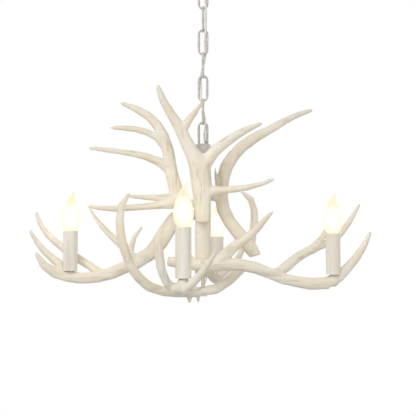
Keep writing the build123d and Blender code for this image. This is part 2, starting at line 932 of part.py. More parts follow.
def make_lamp_holder(name):
    x, y, _ = lamp_places[name]
    bottom, rim = lamp_levels(name)
    cup_bottom = rim - holder_cup_depth
    foot = prism(holder_foot_diameter / 2, bottom, bottom + holder_foot_height)
    stem = prism(holder_stem_diameter / 2, bottom + holder_foot_height, cup_bottom)
    cup = prism(sleeve_diameter / 2 - sleeve_wall - fit_clearance, cup_bottom, rim)
    body = foot + stem + cup
    body = body - prism(lamp_nipple_diameter / 2, bottom, bottom + holder_foot_height)
    body = body - prism(holder_stem_bore / 2, bottom + holder_foot_height, cup_bottom + holder_cup_floor)
    body = body - prism(shell_diameter / 2, cup_bottom + holder_cup_floor, rim, shell_sides)
    return Pos(x, y, 0) * one(body)


def make_threaded_shell(name):
    x, y, _ = lamp_places[name]
    _, rim = lamp_levels(name)
    bottom = rim - holder_cup_depth + holder_cup_floor
    outside = prism(shell_diameter / 2, bottom, bottom + shell_length, shell_sides)
    inside = prism(shell_diameter / 2 - shell_wall, bottom, bottom + shell_length, shell_sides)
    return Pos(x, y, 0) * (outside - inside)


def make_contact(name):
    x, y, _ = lamp_places[name]
    _, rim = lamp_levels(name)
    bottom = rim - holder_cup_depth + holder_cup_floor
    return Pos(x, y, bottom + contact_size[2] / 2) * Box(*contact_size)


def bulb_bottom(name):
    _, rim = lamp_levels(name)
    return rim - holder_cup_depth + holder_cup_floor + contact_size[2] + bulb_travel_clearance


def make_bulb_cap(name):
    x, y, _ = lamp_places[name]
    bottom = bulb_bottom(name)
    tip = prism(bulb_cap_diameter / 4, bottom, bottom + bulb_tip_height, screw_sides)
    barrel = prism(bulb_cap_diameter / 2, bottom + bulb_tip_height, bottom + bulb_cap_length, shell_sides)
    return Pos(x, y, 0) * one(tip + barrel)


def make_bulb_glass(name):
    """Flame-shaped glass, its tip bent to the right, open at the neck where the cap closes it."""
    x, y, _ = lamp_places[name]
    bottom = bulb_bottom(name) + bulb_cap_length
    outer = []
    inner = []
    for up, out, bend in bulb_form:
        centre = Vector(x + bend * bulb_bend, y, bottom + up * bulb_height)
        radius = bulb_diameter / 2 * out
        outer.append(ring_points(centre, Vector(0, 0, 1), Vector(0, 1, 0), radius, radius, bulb_sides))
        if up < bulb_hollow_height:
            radius = radius - bulb_wall
            inner.append(ring_points(centre, Vector(0, 0, 1), Vector(0, 1, 0), radius, radius, bulb_sides))
    return one(skin(outer) - skin(inner))


def make_lamp_nipple(name):
    x, y, _ = lamp_places[name]
    bottom = lamp_nut_top(name) - lamp_nut_height
    top = arm_z + lamp_places[name][2] + holder_foot_height
    tube = prism(lamp_nipple_diameter / 2, bottom, top)
    return Pos(x, y, 0) * (tube - prism(lamp_nipple_bore / 2, bottom, top, screw_sides))


def make_lamp_nut(name):
    x, y, _ = lamp_places[name]
    top = lamp_nut_top(name)
    nut = hexagon(lamp_nut_across_flats, top - lamp_nut_height, top)
    return Pos(x, y, 0) * (nut - prism(lamp_nipple_diameter / 2, top - lamp_nut_height, top))


def make_junction():
    top = column_top_z - junction_below_column_top
    bottom = top - junction_height
    outside = column_diameter / 2 - column_wall - junction_clearance
    return prism(outside, bottom, top, shell_sides) - prism(rod_diameter / 2 + fit_clearance, bottom, top)


# Assembly

nodes["crossbar"] = make_crossbar()
nodes["crossbar_nipple"] = make_crossbar_nipple()
nodes["crossbar_nut"] = make_bar_nut()
nodes["screw_loop"] = make_screw_loop()
nodes["canopy"] = make_canopy()
nodes["canopy_ring"] = make_canopy_ring()
for number in range(link_count):
    nodes["chain_link_" + str(number + 1)] = make_link(number)
nodes["power_cord"] = make_cord()
nodes["hanging_eye"] = make_eye()
nodes["top_cap"] = make_top_cap()
nodes["bottom_cap"] = make_bottom_cap()
nodes["tie_rod"] = make_tie_rod()
nodes["wire_junction"] = make_junction()

front_nut_top = rod_end_z + rod_nut_height
nodes["rod_nuts"] = Compound([
    make_rod_nut(column_bottom_z - bottom_cap_flange).solid(),
    make_rod_nut(front_nut_top).solid(),
])

beam_options = {"sides": beam_sides, "step": beam_step, "ridges": ridge_height}
antlers = {
    "upper_left": ([branch(upper_left_beam, hub_z, depth=slim_depth, **beam_options)], upper_left_tines),
    "upper_front": ([branch(upper_front_beam, hub_z, depth=full_depth, **beam_options)], upper_front_tines),
    "upper_right": ([branch(upper_right_beam, hub_z, depth=full_depth, **beam_options)], upper_right_tines),
    "left": ([branch(left_beam, arm_z, depth=slim_depth, **beam_options)], left_tines),
    "right": ([branch(right_beam, arm_z, depth=full_depth, **beam_options)], right_tines),
    "front": (
        [
            branch(front_arm, arm_z, sides=beam_sides, hint=(1, 0, 0)),
            branch(front_brow, arm_z),
            branch(front_stump, arm_z, hint=(1, 0, 0), depth=full_depth, step=stump_step),
            branch(front_beam, arm_z, depth=full_depth, **beam_options),
        ],
        front_tines + front_nubs,
    ),
    "back": ([branch(back_beam, arm_z, hint=(1, 0, 0), **beam_options)], back_tines),
}
column = make_column()
screws = []
all_plugs = []
for name, (parts, tines) in antlers.items():
    antler, plugs = make_antler(name, parts, tines, name if name in lamp_places else None)
    if name == "front":
        rod_bore_bottom = rod_end_z - rod_bore_below_end
        antler = antler - prism(rod_diameter / 2, rod_bore_bottom, rod_end_z + rod_bore_above_end)
        recess = rod_nut_across_flats / 2 / cos(pi / 6) + rod_nut_recess_clearance
        antler = one(antler - prism(recess, rod_bore_bottom, front_nut_top, round_sides))
    nodes["antler_" + name] = antler
    all_plugs.extend(plugs)
    for number in range(len(pads.get(name, []))):
        plane, reach = screw_frame(name, number)
        column = column - round_along(plane, screw_diameter / 2, cut_extra, column_diameter)
        screws.append(make_screw(name, number))
for name in wire_offsets:
    turn = radians(wire_exits[name]["turn"])
    plane = Plane(origin=(0, 0, wire_exits[name]["z"]), z_dir=(cos(turn), sin(turn), 0), x_dir=(0, 0, 1))
    column = column - round_along(
        plane, wire_channel_diameter / 2 + hole_clearance, cut_extra, column_diameter
    )
nodes["column"] = one(column)
nodes["antler_screws"] = Compound(screws)
nodes["screw_plugs"] = Compound(all_plugs)

lamps = list(lamp_places)
for name in lamps:
    nodes["sleeve_" + name] = make_sleeve(name)
    nodes["lamp_holder_" + name] = make_lamp_holder(name)
    nodes["threaded_shell_" + name] = make_threaded_shell(name)
    nodes["bulb_cap_" + name] = make_bulb_cap(name)
    nodes["bulb_glass_" + name] = make_bulb_glass(name)
    nodes["wire_" + name] = tube_through(wire_route(name), wire_diameter / 2)
nodes["lamp_contacts"] = Compound([make_contact(name).solid() for name in lamps])
nodes["lamp_nipples"] = Compound([make_lamp_nipple(name).solid() for name in lamps])
nodes["lamp_nuts"] = Compound([make_lamp_nut(name).solid() for name in lamps])

for name, shape in nodes.items():
    export_step(shape, "parts/" + name + ".step")
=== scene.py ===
import json
import math

import bmesh
import bpy
import numpy as np
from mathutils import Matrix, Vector, noise


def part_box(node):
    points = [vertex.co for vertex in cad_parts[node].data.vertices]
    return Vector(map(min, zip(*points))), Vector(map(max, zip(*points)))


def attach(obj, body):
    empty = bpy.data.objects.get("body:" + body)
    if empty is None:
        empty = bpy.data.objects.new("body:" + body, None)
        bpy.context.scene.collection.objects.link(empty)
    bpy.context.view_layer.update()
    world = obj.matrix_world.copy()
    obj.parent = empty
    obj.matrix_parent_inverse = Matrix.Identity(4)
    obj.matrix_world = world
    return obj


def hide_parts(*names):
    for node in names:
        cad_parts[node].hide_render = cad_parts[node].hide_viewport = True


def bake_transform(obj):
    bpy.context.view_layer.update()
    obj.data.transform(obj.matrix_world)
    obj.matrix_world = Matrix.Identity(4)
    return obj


# Antler chandelier on a chain. Metres, +Z up, X to the right, -Y to the front.

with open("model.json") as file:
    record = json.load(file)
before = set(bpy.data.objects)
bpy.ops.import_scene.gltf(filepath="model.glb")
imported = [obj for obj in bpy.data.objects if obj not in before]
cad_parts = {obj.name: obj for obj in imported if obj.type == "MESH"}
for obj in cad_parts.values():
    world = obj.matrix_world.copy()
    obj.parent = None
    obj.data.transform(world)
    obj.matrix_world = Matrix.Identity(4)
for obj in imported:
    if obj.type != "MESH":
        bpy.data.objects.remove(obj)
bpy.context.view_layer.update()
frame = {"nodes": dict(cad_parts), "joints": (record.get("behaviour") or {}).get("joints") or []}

MM = 0.001
ANTLERS = ("upper_left", "upper_front", "upper_right", "left", "right", "front", "back")
LAMPS = ("left", "right", "front", "back")
LINKS = 7

# Levels and places read from the frame
hang = {joint["name"]: joint for joint in frame["joints"]}
swing_levels = [hang["link_%d_swing" % number]["pos_m"][2] for number in range(1, LINKS + 1)]
swing_levels.append(hang["chandelier_swing"]["pos_m"][2])


def middle(node):
    """Centre of a node's box and its half sizes."""
    low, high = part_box(node)
    low, high = Vector(low), Vector(high)
    return (low + high) / 2, (high - low) / 2


# ---------------------------------------------------------------- shader maths


class Level:
    """A number socket in a shader, for writing its maths as Python expressions."""

    def __init__(self, finish, socket):
        self.finish = finish
        self.socket = socket

    def _with(self, operation, first, second):
        out = self.finish.node("ShaderNodeMath", {"operation": operation}, {0: first, 1: second})
        return Level(self.finish, out.outputs[0])

    def __add__(self, other):
        return self._with("ADD", self, other)

    __radd__ = __add__

    def __sub__(self, other):
        return self._with("SUBTRACT", self, other)

    def __rsub__(self, other):
        return self._with("SUBTRACT", other, self)

    def __mul__(self, other):
        return self._with("MULTIPLY", self, other)

    __rmul__ = __mul__

    def over(self, low, high):
        """0 below low and 1 above high, with a smooth step between."""
        out = self.finish.node(
            "ShaderNodeMapRange",
            {"interpolation_type": "SMOOTHSTEP"},
            {"Value": self, "From Min": low, "From Max": high},
        )
        return Level(self.finish, out.outputs["Result"])


class Nodes:
    """A node tree and short ways to fill it."""

    def __init__(self, owner):
        owner.use_nodes = True
        self.tree = owner.node_tree
        self.tree.nodes.clear()

    def node(self, kind, settings=None, values=None):
        """A node with its settings made first, then its sockets filled or linked."""
        made = self.tree.nodes.new(kind)
        for key, value in (settings or {}).items():
            setattr(made, key, value)
        for key, value in (values or {}).items():
            self.fill(made.inputs[key], value)
        return made

    def fill(self, socket, value):
        """Links a socket to a value's own socket, or sets it."""
        if isinstance(value, Level):
            value = value.socket
        if isinstance(value, bpy.types.NodeSocket):
            self.tree.links.new(value, socket)
        else:
            socket.default_value = value

    def mix(self, share, first, second):
        """From the first colour to the second."""
        made = self.node("ShaderNodeMix", {"data_type": "RGBA"})
        self.fill(made.inputs[0], share)
        for place, colour in ((6, first), (7, second)):
            if isinstance(colour, tuple):
                colour = (*colour, 1.0)
            self.fill(made.inputs[place], colour)
        return made.outputs[2]


class Finish(Nodes):
    """One procedural material."""

    def __init__(self, name):
        self.material = bpy.data.materials.new(name)
        super().__init__(self.material)
        self.surface = self.node("ShaderNodeBsdfPrincipled")
        end = self.node("ShaderNodeOutputMaterial")
        self.tree.links.new(self.surface.outputs[0], end.inputs[0])
        self.place = self.node("ShaderNodeTexCoord").outputs["Object"]

    def set(self, **values):
        """Fills sockets of the surface; an underscore in a name stands for a space."""
        for key, value in values.items():
            self.fill(self.surface.inputs[key.replace("_", " ")], value)

    def stretched(self, along):
        """The object's own coordinates, scaled on each axis."""
        out = self.node("ShaderNodeMapping", {"vector_type": "POINT"}, {"Vector": self.place, "Scale": along})
        return out.outputs[0]

    def cloud(self, scale, detail=4.0, rough=0.55, along=(1, 1, 1)):
        """Soft noise from 0 to 1."""
        values = {"Vector": self.stretched(along), "Scale": scale, "Detail": detail, "Roughness": rough}
        return Level(self, self.node("ShaderNodeTexNoise", None, values).outputs["Fac"])

    def stored(self, name):
        """A value that the mesh holds at each of its points."""
        return Level(self, self.node("ShaderNodeAttribute", {"attribute_name": name}).outputs["Fac"])

    def relief(self, height, depth, strength):
        """Small relief from a height between 0 and 1, its depth in metres."""
        made = self.node("ShaderNodeBump", None, {"Height": height, "Distance": depth, "Strength": strength})
        self.fill(self.surface.inputs["Normal"], made.outputs[0])
        return self


# -------------------------------------------------------------------- finishes

IVORY = (0.875, 0.805, 0.67)
IVORY_PALE = (0.925, 0.885, 0.79)
# Darker ivory, for the paint streaks in the grooves and for the painted shade in the hollows
IVORY_STREAK_AND_SHADE = (0.61, 0.53, 0.40)
TIP_GREY = (0.60, 0.555, 0.48)


def antler_ivory():
    """Cast resin, painted ivory and wiped so that the grooves stay darker, with painted shade darkening its
    crotches and hollows.
    """
    made = Finish("antler_ivory")
    groove = made.stored("streak")
    hollow = made.stored("hollow")
    patch = made.cloud(22.0, detail=3.0)
    grain = made.cloud(420.0, detail=3.0)
    tone = made.mix(patch.over(0.38, 0.66), IVORY, IVORY_PALE)
    tone = made.mix((0.46 - groove).over(0.0, 0.34) * 0.5, tone, IVORY_STREAK_AND_SHADE)
    # Painted shade: darkens the crotches and other hollows, where shade falls
    tone = made.mix(hollow.over(0.1, 0.9) * 0.55, tone, IVORY_STREAK_AND_SHADE)
    tone = made.mix(made.stored("tip").over(0.35, 1.0) * 0.25, tone, TIP_GREY)
    rough = 0.42 + 0.2 * grain + 0.1 * patch
    made.set(Base_Color=tone, Roughness=rough, Specular_IOR_Level=0.4)
    return made.relief(groove * 0.7 + grain * 0.05, 0.0006, 0.6).material


def worn_paint(name, light, dark, bare, scale, wear):
    """Brushed off-white paint, rubbed through to a darker tone in places."""
    made = Finish(name)
    patch = made.cloud(scale, detail=5.0, rough=0.62)
    brush = made.cloud(scale * 5, detail=2.0, along=(1, 1, 0.16))
    rub = made.cloud(scale * 2.3, detail=6.0, rough=0.7)
    tone = made.mix(patch.over(0.36, 0.64), dark, light)
    tone = made.mix(brush.over(0.42, 0.7) * 0.35, tone, dark)
    tone = made.mix(rub.over(wear, wear + 0.08) * 0.8, tone, bare)
    made.set(Base_Color=tone, Roughness=0.34 + 0.3 * patch, Specular_IOR_Level=0.45)
    return made.relief(brush * 0.6 + patch * 0.4, 0.0004, 0.5).material


def sleeve_paint():
    """Candle tube with paint dragged down it in streaks."""
    made = Finish("sleeve_paint")
    drag = made.cloud(150.0, detail=3.0, along=(1, 1, 0.06))
    broad = made.cloud(46.0, detail=2.0, along=(1, 1, 0.2))
    tone = made.mix(broad.over(0.36, 0.6), (0.88, 0.83, 0.73), (0.94, 0.91, 0.84))
    tone = made.mix(drag.over(0.48, 0.68) * 0.5, tone, (0.68, 0.62, 0.52))
    made.set(Base_Color=tone, Roughness=0.3 + 0.3 * drag, Specular_IOR_Level=0.5)
    return made.relief(drag, 0.0005, 0.7).material


def frosted_glow(name, base, height):
    """Frosted glass of a lit bulb: cream, warmer towards the tip, and clear enough to show its middle."""
    made = Finish(name)
    axis = made.node("ShaderNodeSeparateXYZ", None, {"Vector": made.place})
    up = Level(made, axis.outputs["Z"])
    above = (up - (base + height * 0.3)) * (1.0 / (height * 0.5))
    tone = made.mix(above.over(0.0, 1.0), (0.96, 0.885, 0.66), (0.94, 0.83, 0.58))
    frost = made.cloud(900.0, detail=2.0)
    made.set(Base_Color=(0.10, 0.09, 0.06, 1.0), Roughness=0.4 + 0.15 * frost, Emission_Color=tone)
    made.set(Emission_Strength=0.95, Alpha=0.6)
    return made.relief(frost, 0.0001, 0.3).material


def lit_middle():
    """Thin veil of light, several of which fill a lit bulb."""
    made = Finish("lit_middle")
    swirl = made.cloud(60.0, detail=2.0)
    tone = made.mix(swirl.over(0.3, 0.7), (1.0, 0.965, 0.86), (1.0, 0.985, 0.93))
    made.set(Base_Color=(0.1, 0.1, 0.1, 1.0), Emission_Color=tone, Emission_Strength=2.2, Alpha=0.14)
    return made.material


def turned_metal(name, colour, shade, roughness):
    """Plated metal with fine turning marks and a little tarnish."""
    made = Finish(name)
    marks = made.cloud(260.0, detail=2.0, along=(0.1, 0.1, 4.0))
    tarnish = made.cloud(70.0, detail=5.0)
    tone = made.mix(tarnish.over(0.4, 0.75), colour, shade)
    made.set(Base_Color=tone, Metallic=1.0, Roughness=roughness + 0.25 * tarnish)
    return made.relief(marks, 0.0001, 0.35).material


def moulded(name, light, dark, roughness):
    """Moulded plastic or putty with a fine grain."""
    made = Finish(name)
    patch = made.cloud(60.0)
    grain = made.cloud(1400.0, detail=2.0)
    made.set(Base_Color=made.mix(patch.over(0.35, 0.7), light, dark), Roughness=roughness + 0.2 * grain)
    return made.relief(grain, 0.00008, 0.4).material


def lead_sheath():
    """Pale, smooth lead with a slight shine and fine scuffs."""
    made = Finish("lead_sheath")
    patch = made.cloud(90.0)
    scuff = made.cloud(700.0, detail=3.0)
    tone = made.mix(patch.over(0.35, 0.7), (0.83, 0.81, 0.73), (0.88, 0.87, 0.82))
    made.set(Base_Color=tone, Roughness=0.22 + 0.25 * scuff, Coat_Weight=0.25)
    return made.relief(scuff, 0.0001, 0.4).material


finishes = {
    "antler": antler_ivory(),
    "chain": worn_paint(
        "chain_paint",
        light=(0.76, 0.745, 0.71),
        dark=(0.55, 0.53, 0.50),
        bare=(0.30, 0.29, 0.275),
        scale=130.0,
        wear=0.58,
    ),
    "cap": worn_paint(
        "cap_paint",
        light=(0.74, 0.715, 0.70),
        dark=(0.63, 0.605, 0.59),
        bare=(0.47, 0.45, 0.44),
        scale=60.0,
        wear=0.68,
    ),
    "column": worn_paint(
        "column_paint",
        light=(0.91, 0.87, 0.77),
        dark=(0.85, 0.79, 0.67),
        bare=(0.66, 0.58, 0.46),
        scale=36.0,
        wear=0.72,
    ),
    "canopy": worn_paint(
        "canopy_paint",
        light=(0.84, 0.82, 0.77),
        dark=(0.72, 0.69, 0.62),
        bare=(0.50, 0.46, 0.40),
        scale=24.0,
        wear=0.68,
    ),
    "sleeve": sleeve_paint(),
    "brass": turned_metal("brass", colour=(0.78, 0.58, 0.27), shade=(0.52, 0.36, 0.16), roughness=0.24),
    "zinc": turned_metal("zinc", colour=(0.66, 0.66, 0.65), shade=(0.42, 0.41, 0.39), roughness=0.3),
    "holder": moulded("holder_plastic", light=(0.86, 0.83, 0.75), dark=(0.78, 0.74, 0.65), roughness=0.45),
    "putty": moulded("plug_putty", light=(0.80, 0.755, 0.665), dark=(0.70, 0.64, 0.54), roughness=0.6),
    "wire": moulded("wire_sheath", light=(0.82, 0.80, 0.74), dark=(0.70, 0.67, 0.60), roughness=0.3),
    "lead": lead_sheath(),
    "lit": lit_middle(),
}


# ----------------------------------------------------------------- mesh makers


def in_scene(name, data):
    """A new object of the scene."""
    made = bpy.data.objects.new(name, data)
    bpy.context.scene.collection.objects.link(made)
    return made


def merged(mesh):
    """A mesh opened for editing, its double points made one."""
    work = bmesh.new()
    work.from_mesh(mesh)
    bmesh.ops.remove_doubles(work, verts=work.verts, dist=1e-6)
    return work


def dots(first, second):
    """Dot product of each row with its fellow."""
    return np.einsum("ij,ij->i", first, second)


def add_piece(name, points, faces, finish, body, nodes):
    """A mesh piece that rides on a body and stands for CAD nodes."""
    mesh = bpy.data.meshes.new(name)
    mesh.from_pydata([tuple(point) for point in points], [], faces)
    mesh.validate()
    mesh.update()
    return place_mesh(name, mesh, finish, body, nodes)


def place_mesh(name, mesh, finish, body, nodes):
    """Makes a mesh a piece of the object, attached to its body where it has one."""
    work = bmesh.new()
    work.from_mesh(mesh)
    bmesh.ops.recalc_face_normals(work, faces=work.faces)
    work.to_mesh(mesh)
    work.free()
    mesh.materials.clear()
    mesh.materials.append(finish)
    mesh.polygons.foreach_set("use_smooth", [True] * len(mesh.polygons))
    made = in_scene(name, mesh)
    if body:
        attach(made, body)
    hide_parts(*nodes)
    return made


def bands(ring_count, sides, closed):
    """Quads between neighbouring rings, and end faces where the rings aren't a loop."""
    faces = []
    last = ring_count if closed else ring_count - 1
    for ring in range(last):
        near, far = ring * sides, (ring + 1) % ring_count * sides
        for side in range(sides):
            after = (side + 1) % sides
            faces.append((near + side, near + after, far + after, far + side))
    if not closed:
        faces.append(tuple(range(sides)))
        faces.append(tuple(range((ring_count - 1) * sides, ring_count * sides)))
    return faces


def softened(profile, radius, steps=3):
    """A closed half profile with its corners rounded off."""
    out = []
    count = len(profile)
    for number in range(count):
        before, here, after = (Vector(profile[(number + shift) % count]) for shift in (-1, 0, 1))
        cut = min(radius, (before - here).length / 2.5, (after - here).length / 2.5)
        start = here + (before - here).normalized() * cut
        end = here + (after - here).normalized() * cut
        for step in range(steps + 1):
            share = step / steps
            out.append(start * (1 - share) ** 2 + here * 2 * share * (1 - share) + end * share**2)
    return [(point[0], point[1]) for point in out]


def turned(profile, centre=(0.0, 0.0), sides=64, closed=True, uneven=0.0, grain=90.0):
    """Points and faces of a piece turned about an upright line from its (radius, z) profile."""
    points = []
    for radius, level in profile:
        for side in range(sides):
            turn = 2 * math.pi * side / sides
            way = Vector((math.cos(turn), math.sin(turn), 0))
            swell = uneven * noise.noise(Vector((way.x * 1.3, way.y * 1.3, level * grain)))
            points.append(Vector((centre[0], centre[1], level)) + way * (radius + swell))
    return points, bands(len(profile), sides, closed)


def swept(centres, ways, hint, radii, sides=16, closed=False):
    """Points and faces of a round bar along centres, its section turned to a fixed hint."""
    points = []
    for centre, way, radius in zip(centres, ways, radii):
        first = (hint - way * way.dot(hint)).normalized()
        second = way.cross(first)
        for side in range(sides):
            turn = 2 * math.pi * side / sides
            points.append(centre + (first * math.cos(turn) + second * math.sin(turn)) * radius)
    return points, bands(len(centres), sides, closed)


def joined(*parts):
    """Several (points, faces) as one."""
    points, faces = [], []
    for some_points, some_faces in parts:
        shift = len(points)
        points.extend(some_points)
        faces.extend(tuple(index + shift for index in face) for face in some_faces)
    return points, faces


# --------------------------------------------------------------------- antlers

VOXEL = 1.8 * MM
# From a lamp's seat down to the middle of the arm under it, and the putty's girth as a share of that
SEAT_TO_ARM = 11.0 * MM
SEAT_GIRTH = 0.97
# A screw's plug belongs to the antler that has a point this near
PLUG_REACH = 12 * MM
# The stump under the front lamp, from its seat: x, y, z and radius in millimetres
FRONT_STUMP = [(-13, 16, -22, 9.5), (-5, 6, -15, 9.0), (0, 0, -8, 8.6)]
# The stump's top: its girth as a share of SEAT_TO_ARM, and how far it stands above the seat
STUMP_GIRTH = 0.9
STUMP_LIFT = 1.6 * MM
# Rounds of smoothing on an antler's mesh, in the order of use
FAIRING = 50
UNKINKING = 2
WEBBING = 95
LAST_FAIRING = 30
# Grooves: rounds that draw random values out, how closely they keep to a tine's run, and the rest
STREAKING = 90
GROOVE_FOCUS = 6
GROOVE_LEAK = 0.002
# Seed of the first antler's grooves; each antler after it adds 1
FIRST_SEED = 11
# Relief in millimetres for each unit of a groove, a swell and a tip
BROAD_RELIEF = 0.2
FINE_RELIEF = 0.12
SWELL_RELIEF = 0.22
TIP_RELIEF = 0.6
# How far, in millimetres, the surface bulges at a tip, and where and over what span grooves fade out
TIP_BULGE = 4.5
CALM_BULGE = 3.3
CALM_SPAN = 1.2


class Net:
    """Which points of a mesh are neighbours, for spreading values over it."""

    def __init__(self, mesh):
        ends = np.empty(len(mesh.edges) * 2, dtype=np.int64)
        mesh.edges.foreach_get("vertices", ends)
        ends = ends.reshape(-1, 2)
        self.near = np.concatenate([ends[:, 0], ends[:, 1]])
        self.far = np.concatenate([ends[:, 1], ends[:, 0]])
        self.count = len(mesh.vertices)
        self.even = np.ones(len(self.near))

    def spread(self, values, weights=None):
        """Mean of the neighbours' values."""
        weights = self.even if weights is None else weights
        total = np.maximum(np.bincount(self.near, weights, self.count), 1e-12)
        flat = values.reshape(self.count, -1)
        out = np.empty_like(flat)
        for column in range(flat.shape[1]):
            out[:, column] = np.bincount(self.near, weights * flat[self.far, column], self.count) / total
        return out.reshape(values.shape)

    def eased(self, values, rounds, share=0.5):
        """Draws each value towards its neighbours' mean."""
        for _ in range(rounds):
            values = values + share * (self.spread(values) - values)
        return values

    def faired(self, places, rounds):
        """Smooths away facets without shrinking what they form."""
        for _ in range(rounds):
            places = places + 0.6 * (self.spread(places) - places)
            places = places - 0.63 * (self.spread(places) - places)
        return places

    def lengthwise(self, normals):
        """The way that each stretch runs: the one in which its normals change least."""
        spans = self.eased(normals[:, :, None] * normals[:, None, :], 36)
        return np.linalg.eigh(spans)[1][:, :, 0]

    def unkinked(self, mesh, places):
        """Bends the beams and tines smoothly; each section moves whole, so none grows thinner."""
        write_points(mesh, places)
        normals = read_normals(mesh)
        along = self.lengthwise(normals)
        pull = self.eased(places, 60, 0.9) - places
        shrink = self.eased(dots(pull, normals), 60, 0.9)
        pull = pull - shrink[:, None] * normals
        pull = pull - dots(pull, along)[:, None] * along
        return places + self.eased(pull, 60, 0.9)

    def webbed(self, mesh, places, rounds):
        """Fills the tight corners where tines leave a beam, and nothing else."""
        for _ in range(rounds):
            write_points(mesh, places)
            normals = read_normals(mesh)
            rise = np.clip(dots(self.spread(places) - places, normals), 0, None)
            places = places + 0.9 * rise[:, None] * normals
        return places


def read_points(mesh):
    places = np.empty(len(mesh.vertices) * 3)
    mesh.vertices.foreach_get("co", places)
    return places.reshape(-1, 3)


def write_points(mesh, places):
    mesh.vertices.foreach_set("co", places.astype(np.float32).ravel())
    mesh.update()


def read_normals(mesh):
    normals = np.empty(len(mesh.vertices) * 3)
    mesh.vertex_normals.foreach_get("vector", normals)
    return normals.reshape(-1, 3)


def keep_value(mesh, name, values):
    mesh.attributes.new(name, "FLOAT", "POINT").data.foreach_set("value", values.astype(np.float32))


def lumps(mesh):
    """A mesh opened for editing, and its separate closed surfaces as sets of points."""
    work = merged(mesh)
    left = set(work.verts)
    found = []
    while left:
        waiting = [left.pop()]
        lump = set(waiting)
        while waiting:
            for edge in waiting.pop().link_edges:
                for vert in edge.verts:
                    if vert in left:
                        left.discard(vert)
                        lump.add(vert)
                        waiting.append(vert)
        found.append(lump)
    return work, found


def add_lump(work, points, faces):
    """Adds a closed form to a mesh that is remeshed later."""
    made = [work.verts.new(point) for point in points]
    for face in faces:
        work.faces.new([made[index] for index in face])


def add_lamp_seat(work, name):
    """Putty in the nut's recess under a lamp and, on the front arm, the stump that carries the lamp."""
    on_stump = name == "front"
    hint = Vector((1, 0, 0))
    centre, half = middle("sleeve_" + name)
    lift = STUMP_LIFT if on_stump else 0.0
    seat = Vector((centre.x, centre.y, centre.z - half.z + lift))
    levels = np.linspace(-0.97, 0.97, 11)
    centres = [seat + Vector((0, 0, SEAT_TO_ARM * (level - 1))) for level in levels]
    if on_stump:
        radii = [SEAT_TO_ARM * STUMP_GIRTH * (1 - level**4) ** 0.25 for level in levels]
    else:
        radii = [SEAT_TO_ARM * SEAT_GIRTH * math.sqrt(1 - level**2) for level in levels]
    add_lump(work, *swept(centres, [Vector((0, 0, 1))] * len(centres), hint, radii, 20))
    if on_stump:
        centres = [seat + Vector(row[:3]) * MM for row in FRONT_STUMP]
        ways = [(centres[2] - centres[0]).normalized()] * len(centres)
        add_lump(work, *swept(centres, ways, hint, [row[3] * MM for row in FRONT_STUMP], 20))


def solid_copy(antler):
    """The antler's CAD mesh together with the plugs over its screws and the seat of its lamp."""
    work = merged(frame["nodes"][antler].data)
    near = np.array([vert.co for vert in work.verts])
    plugs, found = lumps(frame["nodes"]["screw_plugs"].data)
    for lump in found:
        centre = np.mean([vert.co for vert in lump], axis=0)
        if np.min(np.linalg.norm(near - centre, axis=1)) > PLUG_REACH:
            continue
        copies = {vert: work.verts.new(vert.co) for vert in lump}
        for face in {face for vert in lump for face in vert.link_faces}:
            work.faces.new([copies[vert] for vert in face.verts])
    plugs.free()
    name = antler.removeprefix("antler_")
    if name in LAMPS:
        add_lamp_seat(work, name)
    mesh = bpy.data.meshes.new(antler + "_rough")
    work.to_mesh(mesh)
    work.free()
    return mesh


def even_mesh(mesh, voxel):
    """The same solid in small, even faces."""
    rough = in_scene(mesh.name, mesh)
    change = rough.modifiers.new("remesh", "REMESH")
    change.mode = "VOXEL"
    change.voxel_size = voxel
    change.adaptivity = 0.0
    bpy.context.view_layer.update()
    even = bpy.data.meshes.new_from_object(rough.evaluated_get(bpy.context.evaluated_depsgraph_get()))
    bpy.data.objects.remove(rough)
    return even


def streaks(net, places, normals, seed):
    """Fine and broad grooves that run lengthwise, and slow swells, around 0 at each point."""
    along = net.lengthwise(normals)
    steps = places[net.far] - places[net.near]
    steps /= np.maximum(np.linalg.norm(steps, axis=1), 1e-9)[:, None]
    onward = np.abs(dots(steps, along[net.near])) ** GROOVE_FOCUS + GROOVE_LEAK

    chance = np.random.default_rng(seed)
    fine = chance.normal(size=net.count)
    broad = net.eased(chance.normal(size=net.count), 5, 0.8)
    for _ in range(STREAKING):
        fine = 0.3 * fine + 0.7 * net.spread(fine, onward)
        broad = 0.3 * broad + 0.7 * net.spread(broad, onward)
    fine = np.clip(fine / fine.std(), -2.2, 2.2)
    broad = np.clip(broad / broad.std(), -2.2, 2.2)
    swell = net.eased(chance.normal(size=net.count), 60, 0.9)
    swell = np.clip(swell / swell.std(), -2.0, 2.0)
    return fine, broad, swell


